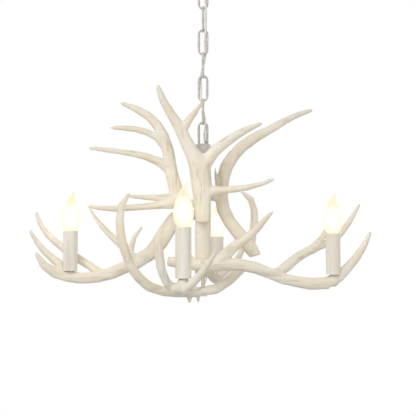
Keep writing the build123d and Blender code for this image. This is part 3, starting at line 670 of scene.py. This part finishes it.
def grown_antler(name, seed):
    """Smooth antler with grooves along its beam and tines, which fade out where it is thin."""
    mesh = even_mesh(solid_copy("antler_" + name), VOXEL)
    net = Net(mesh)
    places = net.faired(read_points(mesh), FAIRING)
    for _ in range(UNKINKING):
        places = net.unkinked(mesh, places)
    places = net.webbed(mesh, places, WEBBING)
    places = net.faired(places, LAST_FAIRING)
    write_points(mesh, places)
    normals = read_normals(mesh)
    fine, broad, swell = streaks(net, places, normals, seed)

    bend = dots(net.eased(places, 40, 0.8) - places, normals)
    # Concavity of the surface, kept as painted shade for the crotches and hollows
    hollow = np.clip(net.eased(bend, 4) / (1.6 * MM), 0, 1)
    bulge = net.eased(-bend, 6) / MM
    tip = net.eased(np.clip(bulge / TIP_BULGE, 0, 1), 8)
    calm = net.eased(np.clip((CALM_BULGE - bulge) / CALM_SPAN, 0, 1), 8)
    rise = (BROAD_RELIEF * broad + FINE_RELIEF * fine) * calm + SWELL_RELIEF * swell + TIP_RELIEF * tip
    write_points(mesh, places + normals * rise[:, None] * MM)
    keep_value(mesh, "streak", 0.5 + (0.13 * fine + 0.11 * broad) * calm)
    keep_value(mesh, "hollow", hollow)
    keep_value(mesh, "tip", tip)
    piece = "antler_%s_grown" % name
    place_mesh(piece, mesh, finishes["antler"], "chandelier", ["antler_" + name])


for number, name in enumerate(ANTLERS):
    grown_antler(name, FIRST_SEED + number)


# ----------------------------------------------------------------------- lamps

SLEEVE_LIP = 0.7 * MM
THREAD_PITCH = 1.8 * MM


def threaded(radius, bottom, top, depth):
    """Half profile of a rounded thread, as rings, from the bottom up."""
    count = int((top - bottom) / THREAD_PITCH * 6)
    out = []
    for step in range(count + 1):
        level = bottom + (top - bottom) * step / count
        turn = 2 * math.pi * (level - bottom) / THREAD_PITCH
        out.append((radius - depth * 0.5 * (1 - math.cos(turn)), level))
    return out


def make_sleeve(name):
    """Candle tube, open at both ends and a little uneven."""
    centre, half = middle("sleeve_" + name)
    outer = half.x
    inner = outer - 1.2 * MM
    low, high = centre.z - half.z, centre.z + half.z
    rise = [(outer, low + (high - low) * step / 24) for step in range(25)]
    fall = [(inner, high - (high - low) * step / 6) for step in range(7)]
    profile = softened(rise + fall, SLEEVE_LIP, 2)
    points, faces = turned(profile, centre, 72, True, 0.28 * MM, 14.0)
    piece = "sleeve_%s_tube" % name
    add_piece(piece, points, faces, finishes["sleeve"], "chandelier", ["sleeve_" + name])


def make_holder(name):
    """Lamp holder on its stem, and the threaded shell in it."""
    centre, half = middle("lamp_holder_" + name)
    shell, shell_half = middle("threaded_shell_" + name)
    low, high = centre.z - half.z, centre.z + half.z
    cup = half.x
    bore = shell_half.x
    floor = shell.z - shell_half.z
    profile = [(3.0 * MM, floor), (bore, floor), (bore, high), (cup, high), (cup, floor - 5 * MM)]
    profile += [(5.5 * MM, floor - 6 * MM), (5.5 * MM, low + 10 * MM), (7.5 * MM, low + 9.5 * MM)]
    profile += [(7.5 * MM, low), (4.0 * MM, low), (4.0 * MM, low + 10 * MM), (3.0 * MM, low + 10 * MM)]
    points, faces = turned(softened(profile, 0.5 * MM, 2), centre, 48)
    piece, node = "lamp_holder_%s_cup" % name, "lamp_holder_" + name
    add_piece(piece, points, faces, finishes["holder"], "chandelier", [node])
    low, high = shell.z - shell_half.z, shell.z + shell_half.z
    outside = threaded(bore - 0.1 * MM, low, high, 0.5 * MM)
    inside = [(radius - 0.5 * MM, level) for radius, level in reversed(outside)]
    points, faces = turned(outside + inside, shell, 40)
    piece, node = "threaded_shell_%s_turned" % name, "threaded_shell_" + name
    add_piece(piece, points, faces, finishes["brass"], "chandelier", [node])


# Half widths of the bulb and the lean of its tip, by height, in shares
BULB_FORM = (
    (0.0, 0.46, 0.0), (0.02, 0.58, 0.0), (0.05, 0.69, 0.0), (0.09, 0.78, 0.0), (0.13, 0.86, 0.0),
    (0.19, 0.935, 0.0), (0.26, 0.985, 0.0), (0.33, 1.0, 0.0), (0.40, 0.975, 0.0), (0.47, 0.90, 0.0),
    (0.55, 0.79, 0.0), (0.62, 0.69, 0.0), (0.69, 0.585, 0.0), (0.76, 0.475, 0.02), (0.83, 0.36, 0.08),
    (0.90, 0.25, 0.28), (0.95, 0.18, 0.6), (0.985, 0.12, 0.9), (1.0, 0.05, 1.0),
)
BULB_LEAN = 7.0 * MM
# Width of the glass as a share of the CAD form's
BULB_WIDTH = 0.97
# Veils of light inside a bulb: the size of each as a share of the largest, then the largest one's width,
# and its half height and middle as shares of the bulb's height
VEILS = (0.5, 0.76, 1.0)
VEIL_WIDTH = 0.84
VEIL_HEIGHT = 0.32
VEIL_LEVEL = 0.37


def eased_form(form, count):
    """The form at even heights, its corners eased."""
    heights = [row[0] for row in form]
    even = np.linspace(0.0, 1.0, count + 1)
    columns = [np.interp(even, heights, [row[place] for row in form]) for place in (1, 2)]
    for column in columns:
        for _ in range(3):
            column[1:-1] = (column[:-2] + 2 * column[1:-1] + column[2:]) / 4
    return list(zip(even, *columns))


def make_bulb(name):
    """Flame-tip bulb: frosted glass, the light inside it and the threaded cap."""
    centre, half = middle("bulb_glass_" + name)
    cap, cap_half = middle("bulb_cap_" + name)
    low, height, widest = centre.z - half.z, 2 * half.z, half.y * BULB_WIDTH
    sides = 48
    smooth = eased_form(BULB_FORM, 56)
    points = []
    for up, out, lean in smooth:
        for side in range(sides):
            turn = 2 * math.pi * side / sides
            points.append(
                (
                    cap.x + lean * BULB_LEAN + widest * out * math.cos(turn),
                    cap.y + widest * out * math.sin(turn),
                    low + up * height,
                )
            )
    glow = frosted_glow("bulb_glow_" + name, low, height)
    body, glass = "bulb_" + name, "bulb_glass_" + name
    faces = bands(len(smooth), sides, False)
    flame = add_piece("bulb_glass_%s_flame" % name, points, faces, glow, body, [glass])
    flame.visible_shadow = False
    levels = np.linspace(-0.97, 0.97, 15)
    veils = []
    for share in VEILS:
        spread, rise = widest * VEIL_WIDTH * share, height * VEIL_HEIGHT * share
        centre_level = low + height * VEIL_LEVEL
        profile = [(spread * math.sqrt(1 - level**2), centre_level + rise * level) for level in levels]
        veils.append(turned(profile, cap, 32, False))
    points, faces = joined(*veils)
    lit = add_piece("bulb_light_" + name, points, faces, finishes["lit"], body, [glass])
    lit.visible_shadow = False
    bottom, top = cap.z - cap_half.z, cap.z + cap_half.z
    radius = cap_half.x
    profile = [(0.4 * MM, bottom), (radius * 0.42, bottom + 0.2 * MM), (radius * 0.5, bottom + 1.2 * MM)]
    profile += [(radius * 0.55, bottom + 2.0 * MM), (radius * 0.9, bottom + 2.6 * MM)]
    profile += threaded(radius, bottom + 3.2 * MM, top - 4 * MM, 0.5 * MM)
    profile += [(radius, top - 3 * MM), (radius, top - 0.2 * MM), (radius * 0.9, top)]
    points, faces = turned(profile, cap, 40, False)
    piece = "bulb_cap_%s_turned" % name
    add_piece(piece, points, faces, finishes["brass"], body, ["bulb_cap_" + name])


for name in LAMPS:
    make_sleeve(name)
    make_holder(name)
    make_bulb(name)


# ----------------------------------------------------------- chain and fitting

# Chain wire: its radius, the reach of a weld along it, and how much fuller welds and straight runs are
WIRE = 2.0 * MM
WELD_REACH = 2.2 * MM
WELD_SWELL = 0.1
RUN_SWELL = 0.2
# Unevenness of painted wire: waves in each metre, its share of a link's radius, and the shift for each link
WIRE_WAVES = 160
LINK_UNEVEN = 0.09
LINK_SHIFT = 3.1
# The canopy's outline from its rim down, as shares of its radius and its height
CANOPY_CURVE = (
    (1.0, 0.0), (1.0, 0.16), (0.985, 0.27), (0.955, 0.4), (0.90, 0.54),
    (0.82, 0.68), (0.72, 0.8), (0.60, 0.9), (0.47, 0.97), (0.36, 1.0),
)


def uneven_radii(centres, radius, share, offset):
    """Hand-painted wire: the radius varies a little along it."""
    away = Vector((offset, 0, 0))
    return [radius * (1 + share * noise.noise(centre * WIRE_WAVES + away)) for centre in centres]


def make_link(number):
    """Open link of round wire, with its weld in the middle of one side."""
    centre, half = middle("chain_link_%d" % number)
    face_on = half.x > half.y
    across = Vector((1, 0, 0)) if face_on else Vector((0, 1, 0))
    through = Vector((0, 1, 0)) if face_on else Vector((1, 0, 0))
    up = Vector((0, 0, 1))
    bend = max(half.x, half.y) - WIRE
    reach = half.z - WIRE - bend
    steps, straight = 18, 10
    centres, ways = [], []
    for sense, start in ((1, 0.0), (-1, math.pi)):
        for step in range(steps + 1):
            turn = start + math.pi * step / steps
            outward = across * math.cos(turn) + up * math.sin(turn)
            centres.append(centre + up * reach * sense + outward * bend)
            ways.append(up * math.cos(turn) - across * math.sin(turn))
        for step in range(1, straight):
            share = step / straight
            centres.append(centre + up * reach * sense * (1 - 2 * share) - across * bend * sense)
            ways.append(-up * sense)
    radii = uneven_radii(centres, WIRE, LINK_UNEVEN, number * LINK_SHIFT)
    weld = centre - across * bend
    for place, spot in enumerate(centres):
        away = (spot - weld).length / WELD_REACH
        run = 1 - min(1, abs(spot.z - centre.z) / (reach + bend * 0.5))
        radii[place] *= 1 + WELD_SWELL * math.exp(-away * away) + RUN_SWELL * min(1, 3 * run)
    points, faces = swept(centres, ways, through, radii, 16, True)
    piece, body, node = "chain_link_%d_wire" % number, "link_%d" % number, "chain_link_%d" % number
    add_piece(piece, points, faces, finishes["chain"], body, [node])


for number in range(1, LINKS + 1):
    make_link(number)


def make_screw_loop():
    """Turned stem with the wire loop under it that the first link hangs in."""
    centre, half = middle("screw_loop")
    top = centre.z + half.z
    canopy_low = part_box("canopy_ring")[0][2]
    stem_low = canopy_low - 1.0 * MM
    radius = half.x
    profile = [(5.0 * MM, top), (radius, top), (radius, stem_low), (4.3 * MM, stem_low)]
    stem = turned(softened(profile, 0.8 * MM, 3), (0, 0), 56)
    wire = 2.5 * MM
    bend = 12.0 * MM - wire
    bottom = swing_levels[0]
    centres = [Vector((0, bend, stem_low + 2 * MM))]
    ways = [Vector((0, 0, -1))]
    for step in range(25):
        turn = math.pi * step / 24
        centres.append(Vector((0, bend * math.cos(turn), bottom + bend - bend * math.sin(turn))))
        ways.append(Vector((0, -math.sin(turn), -math.cos(turn))))
    centres.append(Vector((0, -bend, stem_low + 2 * MM)))
    ways.append(Vector((0, 0, 1)))
    loop = swept(centres, ways, Vector((1, 0, 0)), uneven_radii(centres, wire, 0.06, 1.0), 18)
    points, faces = joined(stem, loop)
    add_piece("screw_loop_turned", points, faces, finishes["chain"], "ceiling", ["screw_loop"])


def make_eye():
    """Eye in the cap, on a threaded base."""
    centre, half = middle("hanging_eye")
    high, low = centre.z + half.z, centre.z - half.z
    bend = half.y - WIRE
    ring_level = high - WIRE - bend
    centres, ways = [], []
    for step in range(40):
        turn = 2 * math.pi * step / 40
        centres.append(Vector((0, bend * math.cos(turn), ring_level + bend * math.sin(turn))))
        ways.append(Vector((0, -math.sin(turn), math.cos(turn))))
    ring = swept(centres, ways, Vector((1, 0, 0)), [WIRE] * len(centres), 16, True)
    base_high = ring_level - bend + 1.2 * MM
    profile = [(4.1 * MM, base_high), (6.3 * MM, base_high), (6.3 * MM, low), (4.1 * MM, low)]
    points, faces = joined(ring, turned(softened(profile, 0.6 * MM, 2), (0, 0), 40))
    finish = finishes["chain"]
    add_piece("hanging_eye_ring", points, faces, finish, "chandelier", ["hanging_eye"])


def make_canopy():
    """Bell under the ceiling, and the ring that holds it up."""
    centre, half = middle("canopy")
    ring, ring_half = middle("canopy_ring")
    rim, top, low = half.x, centre.z + half.z, centre.z - half.z
    hole, wall = 13.7 * MM, 1.5 * MM
    outer = [(rim * out, top + (low - top) * down) for out, down in CANOPY_CURVE]
    outer.append((hole, low))
    inner = [(max(radius - wall, hole), min(level + wall, top)) for radius, level in reversed(outer[:-1])]
    inner[-1] = (rim - wall, top)
    profile = softened(outer + [(hole, low + wall)] + inner, 1.6 * MM, 3)
    points, faces = turned(profile, (0, 0), 96)
    finish = finishes["canopy"]
    add_piece("canopy_bell", points, faces, finish, "canopy", ["canopy"])
    high, low = ring.z + ring_half.z, ring.z - ring_half.z
    bore, outside = 13.1 * MM, ring_half.x
    profile = [(bore, high), (outside, high), (outside, low + 2 * MM), (outside - 2 * MM, low), (bore, low)]
    points, faces = turned(softened(profile, 0.8 * MM, 3), (0, 0), 80)
    add_piece("canopy_ring_turned", points, faces, finish, "canopy", ["canopy_ring"])


def make_hub():
    """Bell-shaped cap, column, bottom cap and tie rod."""
    centre, half = middle("top_cap")
    high, low = centre.z + half.z, centre.z - half.z
    column, column_half = middle("column")
    column_top, column_low = column.z + column_half.z, column.z - column_half.z
    bore = column_half.x + 0.05 * MM
    rod = 4.1 * MM
    floor = column_top + 3 * MM
    rim, waist, wide = 13.7 * MM, 17.5 * MM, half.x
    outer = [(rim, high), (15.1 * MM, high - 2.2 * MM), (16.5 * MM, high - 5 * MM)]
    outer += [(waist + 0.4 * MM, high - 9 * MM), (18.7 * MM, high - 13 * MM)]
    outer += [(wide, high - 18.5 * MM), (wide, low)]
    inner = [(bore, low), (bore, column_top), (rod, column_top), (rod, floor), (wide - 1.5 * MM, floor)]
    inner += [(wide - 1.5 * MM, high - 18.5 * MM), (waist - 1.2 * MM, high - 9 * MM), (rim - 1.5 * MM, high)]
    profile = outer + inner
    points, faces = turned(softened(profile, 1.2 * MM, 3), (0, 0), 72, True, 0.15 * MM)
    add_piece("top_cap_bell", points, faces, finishes["cap"], "chandelier", ["top_cap"])
    outside = column_half.x - 0.05 * MM
    rise = [(outside, column_low + (column_top - column_low) * step / 30) for step in range(31)]
    tube = rise + [(outside - 3 * MM, column_top), (outside - 3 * MM, column_low)]
    points, faces = turned(softened(tube, 0.5 * MM, 2), (0, 0), 64, True, 0.2 * MM, 20.0)
    finish = finishes["column"]
    add_piece("column_tube", points, faces, finish, "chandelier", ["column"])
    end, end_half = middle("bottom_cap")
    low, high = end.z - end_half.z, end.z + end_half.z
    plug = end_half.x - 3.1 * MM
    profile = [(rod, low), (end_half.x, low), (end_half.x, column_low)]
    profile += [(plug, column_low), (plug, high), (rod, high)]
    points, faces = turned(softened(profile, 0.8 * MM, 3), (0, 0), 56)
    add_piece("bottom_cap_turned", points, faces, finish, "chandelier", ["bottom_cap"])
    stick, stick_half = middle("tie_rod")
    low, high = stick.z - stick_half.z, stick.z + stick_half.z
    profile = [(0.5 * MM, low), (3.4 * MM, low), (3.95 * MM, low + 0.8 * MM)]
    profile += [(3.95 * MM, high - 0.8 * MM), (3.4 * MM, high), (0.5 * MM, high)]
    points, faces = turned(profile, (0, 0), 32, False)
    add_piece("tie_rod_turned", points, faces, finish, "chandelier", ["tie_rod"])


make_screw_loop()
make_eye()
make_canopy()
make_hub()


# ------------------------------------------------------------------------ lead

LEAD = 4.0 * MM
# A way that no stretch of the lead runs in, to turn its section by
LEAD_HINT = Vector((0.31, 0.87, 0.38))
# From the screw loop's top to the first bend, and from the last swing's level to the last bend
LAST_BEND = 12 * MM
# The lead's route: down the nipple, through the links from side to side, into the column.
LEAD_ROUTE = [
    (0, 0, -2.5),
    (0, 0, -50.0),
    (5.4, 5.5, -67.7),
    (2.8, 0.4, -90.3),
    (5.4, -5.5, -112.6),
    (6.0, -5.0, -135.2),
    (5.4, -5.5, -157.5),
    (2.8, -0.3, -180.1),
    (5.4, 5.5, -202.4),
    (0.3, 2.8, -225.0),
    (-5.4, 5.5, -247.3),
    (-2.8, 0.2, -269.9),
    (-5.4, -5.5, -292.2),
    (0.4, -2.8, -314.8),
    (5.4, -5.5, -337.1),
    (1.6, 0.3, -359.7),
    (5.4, 5.5, -382.0),
    (6.63, 6.35, -402.0),
    (6.63, 6.35, -446.0),
]


def smooth_line(points, count):
    """Points on the smooth curve that the route's points control."""
    curve = bpy.data.curves.new("lead_route", "CURVE")
    curve.dimensions = "3D"
    spline = curve.splines.new("NURBS")
    spline.points.add(len(points) - 1)
    for target, point in zip(spline.points, points):
        target.co = (point[0] * MM, point[1] * MM, point[2] * MM, 1.0)
    spline.order_u = 3
    spline.use_endpoint_u = True
    spline.resolution_u = count
    holder = in_scene("lead_route", curve)
    bpy.context.view_layer.update()
    line = bpy.data.meshes.new_from_object(holder)
    places = [vert.co.copy() for vert in line.vertices]
    bpy.data.objects.remove(holder)
    return places


def lead_tube(places, ways):
    """Points and faces of one stretch of the lead."""
    return swept(places, ways, LEAD_HINT, [LEAD / 2] * len(places), 14)


def make_lead():
    """The lead in stretches, cut at the middle of each link and at the foot of the top cap."""
    places = smooth_line(LEAD_ROUTE, 12)
    ways = []
    for number in range(len(places)):
        before = places[max(number - 1, 0)]
        after = places[min(number + 1, len(places) - 1)]
        ways.append((after - before).normalized())
    link_middles = [middle("chain_link_%d" % number)[0].z for number in range(1, LINKS + 1)]
    cap_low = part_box("top_cap")[0][2]
    breaks = [places[0].z, *link_middles, cap_low]
    marks = [0]
    for level in breaks[1:]:
        marks.append(min(range(len(places)), key=lambda number: abs(places[number].z - level)))
    ends = [*link_middles, swing_levels[-1] - LAST_BEND]
    for number in range(LINKS + 1):
        reach = slice(marks[number], marks[number + 1] + 1)
        points, faces = lead_tube(places[reach], ways[reach])
        piece = "lead_%d" % (number + 1)
        stretch = add_piece(piece, points, faces, finishes["lead"], None, ["power_cord"])
        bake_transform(stretch)
    points, faces = lead_tube(places[marks[-1]:], ways[marks[-1]:])
    add_piece("lead_end", points, faces, finishes["lead"], "chandelier", ["power_cord"])


make_lead()


def make_lamp_wire(name):
    """Lead inside an antler: its CAD form with rounded bends."""
    node = "wire_" + name
    mesh = frame["nodes"][node].data.copy()
    work = merged(mesh)
    work.to_mesh(mesh)
    work.free()
    made = place_mesh(node + "_round", mesh, finishes["wire"], "chandelier", [node])
    made.modifiers.new("round", "SUBSURF").render_levels = 2


for name in LAMPS:
    make_lamp_wire(name)


# ------------------------------------------------------------ small CAD pieces

CARRIED = {
    "antler_screws": "zinc",
    "screw_plugs": "putty",
    "lamp_contacts": "brass",
    "lamp_nipples": "zinc",
    "lamp_nuts": "zinc",
    "rod_nuts": "column",
    "crossbar": "zinc",
    "crossbar_nipple": "zinc",
    "crossbar_nut": "zinc",
    "wire_junction": "holder",
}
for node, finish in CARRIED.items():
    for place in frame["nodes"][node].material_slots:
        place.material = finishes[finish]


# --------------------------------------------------------------- room and view

FLOOR_LEVEL = -1.9
FLOOR_RADIUS = 2.4
GLOW_POWER = 0.07
GLOW_SIZE = 0.03
GLOW_COLOUR = (1.0, 0.80, 0.50)
CAMERA_PLACE = (0.0095, -1.3, -0.5783)
CAMERA_TILT = math.radians(3.49)
LENS = 59.54
FILM_WIDTH = 36.0


def make_floor():
    """Plain floor far below the lamp, which glows a little to the eye so that it stays pale."""
    mesh = bpy.data.meshes.new("floor")
    work = bmesh.new()
    bmesh.ops.create_circle(work, cap_ends=True, segments=96, radius=FLOOR_RADIUS)
    bmesh.ops.translate(work, verts=work.verts, vec=(0, 0, FLOOR_LEVEL))
    work.to_mesh(mesh)
    work.free()
    made = Finish("floor_pale")
    patch = made.cloud(3.0)
    made.set(Base_Color=made.mix(patch, (0.74, 0.74, 0.74), (0.70, 0.70, 0.70)), Roughness=0.7)
    seen = made.node("ShaderNodeLightPath").outputs["Is Camera Ray"]
    glow = made.mix(seen, (0.0, 0.0, 0.0), (0.36, 0.36, 0.36))
    made.set(Emission_Color=glow, Emission_Strength=1.0)
    mesh.materials.append(made.material)
    floor = in_scene("floor", mesh)


def make_world():
    """Soft light, stronger from the front, and white behind the lamp."""
    world = bpy.data.worlds.new("studio")
    room = Nodes(world)
    end = room.node("ShaderNodeOutputWorld")
    ray = room.node("ShaderNodeLightPath")
    seen = Level(room, ray.outputs["Is Camera Ray"]) + Level(room, ray.outputs["Is Glossy Ray"])
    seen = (seen + Level(room, ray.outputs["Is Transmission Ray"])).over(0.0, 1.0)
    way = room.node("ShaderNodeTexCoord").outputs["Generated"]
    parts = room.node("ShaderNodeSeparateXYZ", None, {"Vector": way}).outputs
    front = (0 - Level(room, parts["Y"])).over(0.0, 1.0)
    under = (0 - Level(room, parts["Z"])).over(0.0, 1.0)
    strength = (0.5 + 0.42 * front) * (1 - 0.6 * under)
    values = {"Color": (1.0, 0.985, 0.96, 1.0), "Strength": strength}
    light = room.node("ShaderNodeBackground", None, values)
    values = {"Color": (1.0, 1.0, 1.0, 1.0), "Strength": 1.0}
    white = room.node("ShaderNodeBackground", None, values)
    values = {0: seen, 1: light.outputs[0], 2: white.outputs[0]}
    mix = room.node("ShaderNodeMixShader", None, values)
    room.tree.links.new(mix.outputs[0], end.inputs[0])
    bpy.context.scene.world = world


def make_light(name, place, aim, size, power, colour):
    """Soft square light that faces a point."""
    data = bpy.data.lights.new(name, "AREA")
    data.shape = "SQUARE"
    data.size = size
    data.energy = power
    data.color = colour
    made = in_scene(name, data)
    made.location = place
    made.rotation_euler = (Vector(aim) - Vector(place)).to_track_quat("-Z", "Y").to_euler()


def make_glow(name):
    """Warm light that a lit bulb throws on what is round it."""
    centre, _ = middle("bulb_glass_" + name)
    data = bpy.data.lights.new("glow_" + name, "POINT")
    data.shadow_soft_size = GLOW_SIZE
    data.energy = GLOW_POWER
    data.color = GLOW_COLOUR
    in_scene("glow_" + name, data).location = centre


def make_camera():
    """The photograph's view."""
    data = bpy.data.cameras.new("photo_view")
    data.lens = LENS
    data.sensor_width = FILM_WIDTH
    camera = in_scene("photo_view", data)
    camera.location = CAMERA_PLACE
    camera.rotation_euler = (math.pi / 2 + CAMERA_TILT, 0, 0)
    bpy.context.scene.camera = camera


make_floor()
make_world()
make_light(
    "front_high",
    place=(-1.1, -1.3, 0.5),
    aim=(0, 0, -0.5),
    size=1.0,
    power=9.0,
    colour=(1.0, 0.98, 0.94),
)
for name in LAMPS:
    make_glow(name)
make_camera()
bpy.context.scene.view_settings.view_transform = "Standard"
